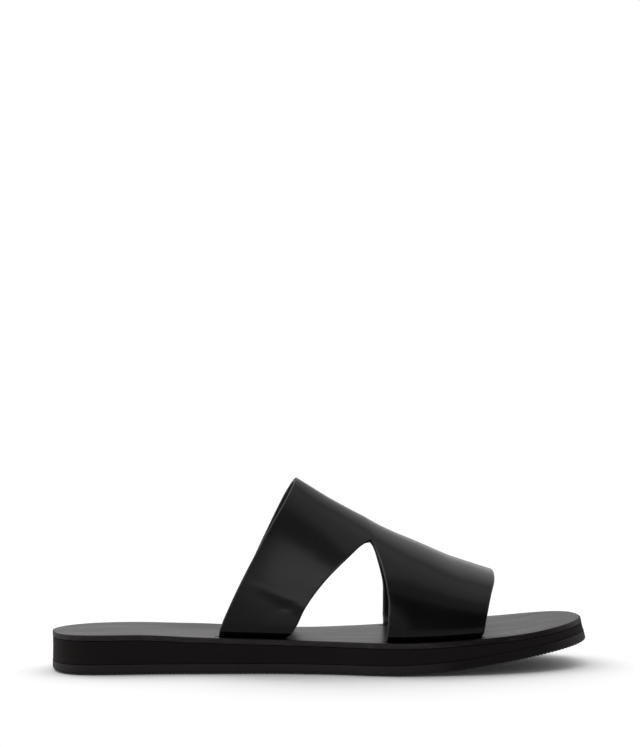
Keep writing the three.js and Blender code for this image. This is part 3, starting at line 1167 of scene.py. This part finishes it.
    def dress(self, piece: bpy.types.Object) -> None:
        """Gives the outside, the lining and the cut edges their leather, and rounds the rims between them; the rims
        carry a painted highlight.
        """
        for finish in (UpperLeather(), LiningLeather(), CutEdge("upper_edge"), PaintedHighlightRim()):
            piece.data.materials.append(finish.material())
        settled(piece)
        self.weight_rims(piece.data)
        modifier(
            piece,
            "BEVEL",
            width=self.edge_round * MM,
            segments=3,
            limit_method="WEIGHT",
            use_clamp_overlap=False,
            harden_normals=True,
            material=3,
        )
        settled(piece, self.sharp)

    def weight_rims(self, mesh: bpy.types.Mesh) -> None:
        """Marks the edges between a face of the leather and its cut edge, less so near a sharp corner."""
        finish, sides = np.zeros((2, len(mesh.polygons)), np.int32)
        mesh.polygons.foreach_get("material_index", finish)
        mesh.polygons.foreach_get("loop_total", sides)
        edges = np.zeros(len(mesh.loops), np.int32)
        mesh.loops.foreach_get("edge_index", edges)
        cut = np.repeat(finish == 2, sides)
        rims = np.zeros((2, len(mesh.edges)), bool)
        rims[0, edges[cut]] = True
        rims[1, edges[~cut]] = True
        ends = np.zeros((len(mesh.edges), 2), np.int32)
        mesh.edges.foreach_get("vertices", ends.ravel())
        places = np.zeros((len(mesh.vertices), 3), np.float32)
        mesh.vertices.foreach_get("co", places.ravel())
        rim = rims.all(axis=0)
        first, second = ends[rim].T
        way = places[second] - places[first]
        way /= np.linalg.norm(way, axis=1)[:, None]
        turn = np.zeros_like(places)
        np.add.at(turn, first, way)
        np.add.at(turn, second, -way)
        corners = places[np.linalg.norm(turn, axis=1) > self.corner_turn]
        middle = (places[first] + places[second]) / 2
        gap = np.linalg.norm(middle[:, None] - corners[None], axis=-1).min(axis=1)
        values = np.zeros(len(mesh.edges), np.float32)
        values[rim] = np.clip(gap / (self.corner_run * MM), 0.08, 1.0)
        weights = mesh.attributes.new("bevel_weight_edge", "FLOAT", "EDGE")
        weights.data.foreach_set("value", values)

    def cutters(self) -> bpy.types.Object:
        """The four feet of the straps, grown by their clearance, that cut the slots and recesses."""
        skin = Skin()
        rows = [
            (Stretch.TAB, np.array([-self.slot_clearance / self.tab_length])),
            (Stretch.BEND, np.arange(7) / 6),
            (Stretch.SPREAD, np.array([0.0, self.slot_reach])),
        ]
        footing = np.array([0.0])
        for side in Side:
            for first, second in ((self.rear_edge, self.notch_rear_edge), (self.notch_front_edge, self.front_edge)):
                start = self.along_at(first, side, Stretch.SPREAD, footing) - self.slot_overrun
                end = self.along_at(second, side, Stretch.SPREAD, footing) + self.slot_overrun
                groups = [
                    self.block(side, stretch, share, (start.repeat(len(share)), end.repeat(len(share))), 30)
                    for stretch, share in rows
                ]
                grid = skin.add(np.concatenate(groups))
                skin.quads(grid, finish=1, flip=side is Side.INNER)
        piece = skin.made("slot_cutters", self.last)
        thickness = (self.thick + 2 * self.slot_clearance) * MM
        modifier(piece, "SOLIDIFY", thickness=thickness, offset=0.0, use_even_offset=True)
        return piece


# The tread


class Tree:
    """A Geometry Nodes tree with one method that makes any node."""

    def __init__(self, name: str, inputs: dict[str, tuple[str, object]]) -> None:
        """Starts a tree with a geometry input and named inputs.

        Args:
            name: The tree's name.
            inputs: Socket type and value of each named input.
        """
        self.tree = bpy.data.node_groups.new(name, "GeometryNodeTree")
        face = self.tree.interface
        face.new_socket("Geometry", in_out="INPUT", socket_type="NodeSocketGeometry")
        face.new_socket("Geometry", in_out="OUTPUT", socket_type="NodeSocketGeometry")
        self.values = {}
        for label, (kind, value) in inputs.items():
            socket = face.new_socket(label, in_out="INPUT", socket_type=kind)
            self.values[socket.identifier] = value
        self.source = self.tree.nodes.new("NodeGroupInput")

    def node(self, kind: str, settings: dict[str, object], sockets: dict) -> bpy.types.Node:
        """Makes a node: its settings first, then a value or a link for each input."""
        made = self.tree.nodes.new(kind)
        for name, value in settings.items():
            setattr(made, name, value)
        for key, value in sockets.items():
            if isinstance(value, bpy.types.NodeSocket):
                self.tree.links.new(value, made.inputs[key])
            else:
                made.inputs[key].default_value = value
        return made

    def run(self, piece: bpy.types.Object) -> None:
        """Puts the tree on an object, with its inputs set by identifier."""
        made = modifier(piece, "NODES", node_group=self.tree)
        for identifier, value in self.values.items():
            made[identifier] = value


@dataclass
class Tread:
    """Fine ribs across the whole sole, each set square to the tread."""

    last: Last
    name: str = "outsole_tread"
    pitch: float = 2.2
    rib_width: float = 1.7
    rib_height: float = 1.0
    edge_inset: float = 3.2
    toe_inset: float = 0.2
    toe_from: float = 0.76
    shortest: float = 17.0

    def line(self) -> bpy.types.Object:
        """The middle line of the tread, with each rib's reach and slope kept on it."""
        shares = np.linspace(0, 1, 600)
        edge = self.rib_width / 2 / self.last.flat_length
        sides = [np.clip(shares + shift, 0, 1) for shift in (-edge, edge)]
        reach = {side: np.minimum(*(self.last.half_breadth(side, place) for place in sides)) for side in Side}
        inset = smoothed([Mark(self.toe_from, self.edge_inset), Mark(self.toe_from + 0.1, self.toe_inset)], shares)
        half = (reach[Side.OUTER] + reach[Side.INNER]) / 2 - inset
        middle = (reach[Side.INNER] - reach[Side.OUTER]) / 2
        kept = half > self.shortest
        x = shares[kept] * self.last.flat_length
        flat = np.column_stack([x, middle[kept], np.zeros(len(x))])
        mesh = bpy.data.meshes.new(self.name)
        mesh.from_pydata(self.last.bent(flat).tolist(), [(i, i + 1) for i in range(len(x) - 1)], [])
        slope = np.clip((x - self.last.bend_from) / self.last.bend_radius, 0, self.last.toe_angle)
        for label, values in (("reach", half[kept] * MM), ("slope", slope)):
            attribute = mesh.attributes.new(label, "FLOAT", "POINT")
            attribute.data.foreach_set("value", values.astype(np.float32))
        return link(bpy.data.objects.new(self.name, mesh))

    def tree(self, rubber: bpy.types.Material) -> Tree:
        """The nodes that set a rib across the line at each step."""
        made = Tree(
            "tread_ribs",
            {
                "Pitch": ("NodeSocketFloat", self.pitch * MM),
                "Rib Width": ("NodeSocketFloat", self.rib_width * MM),
                "Rib Height": ("NodeSocketFloat", self.rib_height * MM),
                "Rubber": ("NodeSocketMaterial", rubber),
            },
        )
        given = made.source.outputs
        curve = made.node("GeometryNodeMeshToCurve", {}, {"Mesh": given["Geometry"]})
        steps = made.node(
            "GeometryNodeResampleCurve",
            {"mode": "LENGTH"},
            {"Curve": curve.outputs[0], "Length": given["Pitch"]},
        )
        narrow = made.node("ShaderNodeMath", {"operation": "MULTIPLY"}, {0: given["Rib Width"], 1: 0.6})
        profile = made.node(
            "GeometryNodeCurvePrimitiveQuadrilateral",
            {"mode": "TRAPEZOID"},
            {
                "Bottom Width": given["Rib Width"],
                "Top Width": narrow.outputs[0],
                "Height": given["Rib Height"],
                "Offset": 0.0,
            },
        )
        lift = made.node("ShaderNodeMath", {"operation": "MULTIPLY"}, {0: given["Rib Height"], 1: -0.5})
        raised = made.node("ShaderNodeCombineXYZ", {}, {"Y": lift.outputs[0]})
        set_up = made.node(
            "GeometryNodeTransform", {}, {"Geometry": profile.outputs[0], "Translation": raised.outputs[0]}
        )
        bar_line = made.node(
            "GeometryNodeCurvePrimitiveLine", {}, {"Start": (0.0, -1.0, 0.0), "End": (0.0, 1.0, 0.0)}
        )
        bar = made.node(
            "GeometryNodeCurveToMesh",
            {},
            {"Curve": bar_line.outputs[0], "Profile Curve": set_up.outputs[0], "Fill Caps": True},
        )
        reach = made.node("GeometryNodeInputNamedAttribute", {"data_type": "FLOAT"}, {"Name": "reach"})
        slope = made.node("GeometryNodeInputNamedAttribute", {"data_type": "FLOAT"}, {"Name": "slope"})
        tilt = made.node("ShaderNodeMath", {"operation": "MULTIPLY"}, {0: slope.outputs[0], 1: -1.0})
        turn = made.node("ShaderNodeCombineXYZ", {}, {"Y": tilt.outputs[0]})
        square = made.node("FunctionNodeEulerToRotation", {}, {"Euler": turn.outputs[0]})
        size = made.node("ShaderNodeCombineXYZ", {}, {"X": 1.0, "Y": reach.outputs[0], "Z": 1.0})
        ribs = made.node(
            "GeometryNodeInstanceOnPoints",
            {},
            {
                "Points": steps.outputs[0],
                "Instance": bar.outputs[0],
                "Rotation": square.outputs[0],
                "Scale": size.outputs[0],
            },
        )
        real = made.node("GeometryNodeRealizeInstances", {}, {"Geometry": ribs.outputs[0]})
        dressed = made.node(
            "GeometryNodeSetMaterial", {}, {"Geometry": real.outputs[0], "Material": given["Rubber"]}
        )
        made.node("NodeGroupOutput", {}, {0: dressed.outputs[0]})
        return made

    def build(self, rubber: bpy.types.Material) -> bpy.types.Object:
        """Makes the ribs as one mesh."""
        piece = self.line()
        self.tree(rubber).run(piece)
        return settled(piece)


# The studio


@dataclass(frozen=True)
class Panel:
    """A soft-edged panel of the studio, lighter or darker than the room, that the leather mirrors.

    Azimuth 0 lies towards the camera's side and grows towards the toe. All but the strength is in degrees.
    """

    azimuth: float
    elevation: float
    width: float
    height: float
    soft: float
    strength: float


@dataclass
class Studio:
    """A white floor, soft light from above and behind, a room to mirror, and the camera at the photo's angle."""

    camera_place: tuple[float, float, float] = (-0.13783, -1.21219, 0.1573)
    camera_turn: float = math.radians(-6.44)
    lens: float = 108.96
    ambient: float = 0.22
    floor_glow: float = 0.01
    floor_white: float = 0.8
    key_strength: float = 3.05
    key_spread: float = math.radians(100)
    key_lean: float = math.radians(-40)
    panels: tuple[Panel, ...] = (
        Panel(-30.0, 12.5, 50.0, 26.0, 4.0, 0.68),
        Panel(36.0, 11.0, 64.0, 36.0, 2.5, -0.17),
        Panel(-108.0, 22.0, 106.0, 80.0, 6.0, 0.7),
        Panel(95.0, 12.0, 80.0, 60.0, 10.0, 0.5),
        Panel(0.0, 90.0, 400.0, 74.0, 12.0, 0.27),
        Panel(180.0, 17.0, 170.0, 56.0, 10.0, 0.17),
        Panel(180.0, 3.0, 130.0, 16.0, 6.0, 0.28),
    )

    def floor(self) -> None:
        """Makes a broad white floor just under the tread. It has a glow of its own, so that shadows are light."""
        half = 6.0
        mesh = bpy.data.meshes.new("floor")
        corners = [(-half, -half), (half, -half), (half, half), (-half, half)]
        mesh.from_pydata([(x, y, -0.0002) for x, y in corners], [], [(0, 1, 2, 3)])
        floor = link(bpy.data.objects.new("floor", mesh))
        sockets = {
            "Base Color": grey(self.floor_white),
            "Roughness": 1.0,
            "Specular IOR Level": 0.0,
            "Emission Color": grey(1.0),
            "Emission Strength": self.floor_glow,
        }
        mesh.materials.append(Shader("floor_white").finished(sockets))
        floor.visible_glossy = False

    def key(self) -> None:
        """Hangs one broad soft light above and a little behind the object. Nothing mirrors it."""
        data = bpy.data.lights.new("key", "SUN")
        data.energy = self.key_strength
        data.angle = self.key_spread
        light = link(bpy.data.objects.new("key", data))
        light.rotation_euler = (self.key_lean, 0.0, 0.0)
        light.visible_glossy = False

    def world(self) -> None:
        """White behind the object, and for the light a room with lighter and darker panels."""
        world = bpy.data.worlds.new("studio")
        bpy.context.scene.world = world
        shader = Shader(world)
        way = shader.node("ShaderNodeTexCoord", {}, {}, "Generated")
        parts = [shader.node("ShaderNodeSeparateXYZ", {}, {0: way}, axis) for axis in "XYZ"]
        azimuth = parts[0].math("ARCTAN2", parts[0], parts[1] * -1.0) * math.degrees(1)
        elevation = parts[2].math("ARCSINE", parts[2]) * math.degrees(1)
        light: Number = self.ambient
        for panel in self.panels:
            aside = azimuth.math("WRAP", azimuth - panel.azimuth, 180.0, -180.0)
            above = elevation - panel.elevation
            share: Number = panel.strength
            for off, size in ((aside, panel.width), (above, panel.height)):
                far = off.math("ABSOLUTE", off)
                share = far.between((size + panel.soft) / 2, (size - panel.soft) / 2) * share
            light = share + light
        light = light.math("MAXIMUM", light, 0.0)
        seen = shader.node("ShaderNodeLightPath", {}, {}, "Is Camera Ray")
        strength = light + seen * (1.0 - light)
        white = {"Color": grey(1.0), "Strength": strength}
        shader.output(shader.node("ShaderNodeBackground", {}, white), "World")

    def camera(self) -> None:
        """Sets the camera level at the photo's height and angle."""
        data = bpy.data.cameras.new("camera")
        data.lens = self.lens
        data.sensor_width = 36.0
        data.clip_start, data.clip_end = 0.05, 50.0
        camera = link(bpy.data.objects.new("camera", data))
        camera.location = self.camera_place
        camera.rotation_euler = (math.pi / 2, 0.0, self.camera_turn)
        bpy.context.scene.camera = camera

    def build(self) -> None:
        """Makes the whole studio."""
        self.floor()
        self.key()
        self.world()
        self.camera()
        bpy.context.scene.view_settings.view_transform = "Standard"


# The sandal


def main() -> None:
    """Builds the pieces in the order that a maker joins them, then the studio."""
    logging.basicConfig(level=logging.INFO, format="%(name)s %(message)s")
    last = Last()
    upper = Upper(last)
    cutters = upper.cutters()

    outsole = Outsole(last)
    outsole_piece = outsole.build()
    outsole.dress(outsole_piece)
    seated(outsole_piece, "outsole", "outsole")
    seated(Tread(last).build(outsole_piece.data.materials[0]), "outsole")

    midsole = Midsole(last)
    midsole_piece = midsole.build(cutters)
    midsole.dress(midsole_piece)
    seated(midsole_piece, "midsole", "midsole")

    footbed = Footbed(last)
    footbed_piece = footbed.build(cutters)
    footbed.dress(footbed_piece)
    seated(footbed_piece, "footbed", "footbed")
    bpy.data.objects.remove(cutters)

    upper_piece = upper.build()
    upper.dress(upper_piece)
    seated(upper_piece, "upper", "upper")

    Studio().build()


if __name__ == "__main__":
    main()
